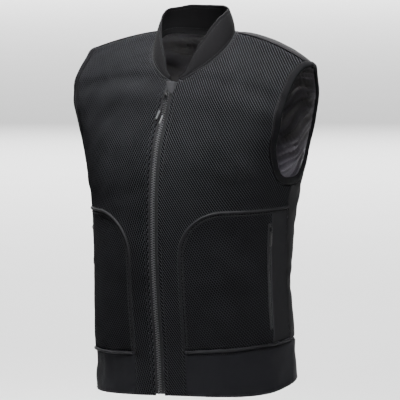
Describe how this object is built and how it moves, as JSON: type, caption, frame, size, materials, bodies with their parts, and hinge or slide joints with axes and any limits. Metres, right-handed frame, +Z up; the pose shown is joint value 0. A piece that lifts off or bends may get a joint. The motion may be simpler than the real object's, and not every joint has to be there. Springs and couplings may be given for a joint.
{
  "type": "motorcycle vest",
  "caption": "Sleeveless zip-front riding vest in spacer mesh with a smooth stand collar, curved front pockets, bound armholes, a stretch hem band and a light lining.",
  "frame": {"origin": "middle of the neck hole at the height of the shoulder tops beside the neck, where the vest hangs on a wearer or a hanger", "axes": "+Z up, -Y out of the front, +X towards the wearer's left"},
  "size_m": [0.4644, 0.282, 0.697],
  "materials": {
    "spacer_mesh": "knitted spacer mesh with staggered round holes, matte near-black",
    "stretch_fabric": "smooth bonded stretch fabric, matte warm black",
    "lining_taffeta": "thin taffeta with a soft sheen and hanging folds",
    "zip_tape": "woven zip tape",
    "zip_teeth": "coiled nylon teeth, dull grey",
    "slider_metal": "black painted zinc",
    "puller_plastic": "moulded soft plastic",
    "pull_cord": "fine braided cord",
    "cord_tip": "light grey moulded cord end"
  },
  "bodies": {
    "root": {"front_panel_left": "spacer_mesh", "front_panel_right": "spacer_mesh", "pocket_left": "spacer_mesh", "pocket_right": "spacer_mesh", "back_panel_left": "stretch_fabric", "back_panel_right": "stretch_fabric", "hem_band": "stretch_fabric", "collar": "stretch_fabric", "armhole_binding_left": "stretch_fabric", "armhole_binding_right": "stretch_fabric", "pocket_piping_left": "stretch_fabric", "pocket_piping_right": "stretch_fabric", "pocket_hem_roll_left": "stretch_fabric", "pocket_hem_roll_right": "stretch_fabric", "zip_garage": "stretch_fabric", "lining_front_left": "lining_taffeta", "lining_front_right": "lining_taffeta", "lining_back_left": "lining_taffeta", "lining_back_right": "lining_taffeta", "front_zip_tape_left": "zip_tape", "front_zip_tape_right": "zip_tape", "pocket_zip_left": "zip_tape", "pocket_zip_right": "zip_tape", "front_zip_chain": "zip_teeth", "front_zip_slider": "slider_metal", "front_pull_ring": "slider_metal", "pocket_zip_slider_left": "slider_metal", "pocket_zip_slider_right": "slider_metal", "pocket_zip_puller_left": "puller_plastic", "pocket_zip_puller_right": "puller_plastic", "front_pull_cord_a": "pull_cord", "front_pull_cord_b": "pull_cord", "pocket_pull_cord_left": "pull_cord", "pocket_pull_cord_right": "pull_cord", "front_pull_tip_a": "cord_tip", "front_pull_tip_b": "cord_tip", "pocket_pull_tip_left": "cord_tip", "pocket_pull_tip_right": "cord_tip"}
  },
  "joints": []
}
